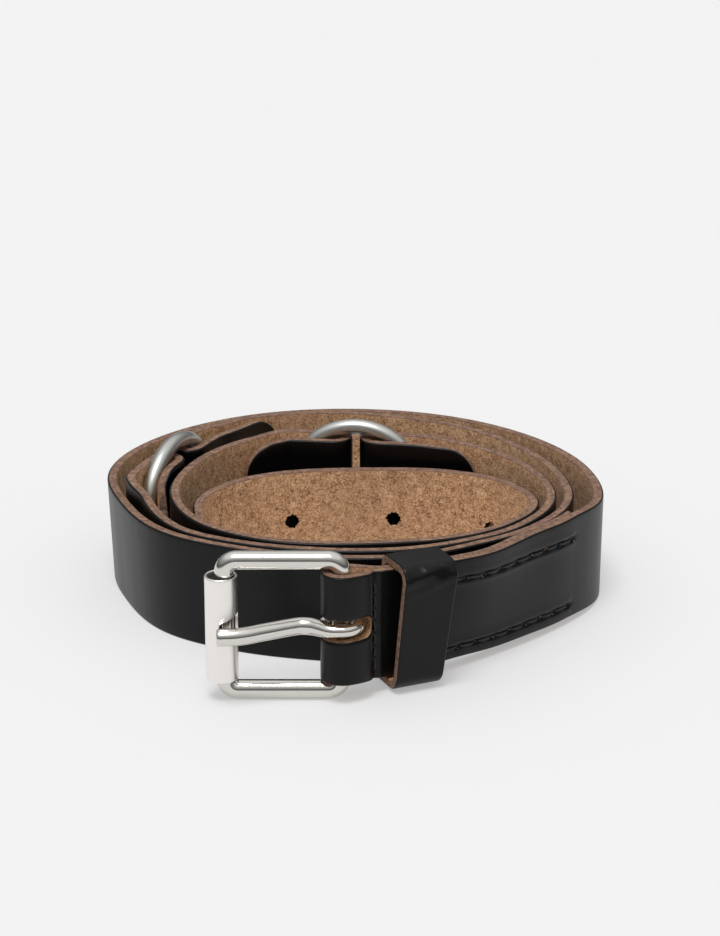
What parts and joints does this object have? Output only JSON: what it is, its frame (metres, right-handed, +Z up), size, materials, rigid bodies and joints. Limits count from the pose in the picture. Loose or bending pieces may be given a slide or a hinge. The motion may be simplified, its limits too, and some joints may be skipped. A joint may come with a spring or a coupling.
{
  "type": "leather ring belt",
  "caption": "Narrow leather belt of straps linked by plain metal rings, with a roller buckle and a keeper loop, coiled on its edge to lie on a surface.",
  "frame": {"origin": "on the floor, under the middle of the belt's outline", "axes": "+Z up, across the strap's width; +Y towards the back of the coil; the buckle is at -Y and points to -X"},
  "size_m": [0.1178, 0.1326, 0.0342],
  "materials": {
    "strap_leather": "glossy black grain side, bare brown flesh side and cut edges",
    "keeper_leather": "glossy black",
    "ring_metal": "polished nickel plate",
    "buckle_metal": "polished nickel plate",
    "roller_metal": "polished nickel plate on thin sheet"
  },
  "bodies": {
    "belt": {"strap_tip_segment": "strap_leather", "strap_middle_segment": "strap_leather", "strap_buckle_segment": "strap_leather", "keeper_loop": "keeper_leather", "ring_1": "ring_metal", "ring_2": "ring_metal"},
    "frame": {"buckle_frame": "buckle_metal"},
    "prong": {"buckle_prong": "buckle_metal"},
    "roller": {"buckle_roller": "roller_metal"}
  },
  "joints": [
    {"name": "frame_pivot", "type": "hinge", "parent": "belt", "child": "frame", "pos_m": [-0.00248, -0.05843, 0.0171], "axis": [0, 0, 1], "range_deg": [-14, 80]},
    {"name": "prong_pivot", "type": "hinge", "parent": "frame", "child": "prong", "pos_m": [-0.00248, -0.05843, 0.0171], "axis": [0, 0, 1], "range_deg": [0, 60]},
    {"name": "roller_turn", "type": "hinge", "parent": "frame", "child": "roller", "pos_m": [-0.02833, -0.05843, 0.0171], "axis": [0, 0, 1], "range_deg": [-10, 10]}
  ]
}
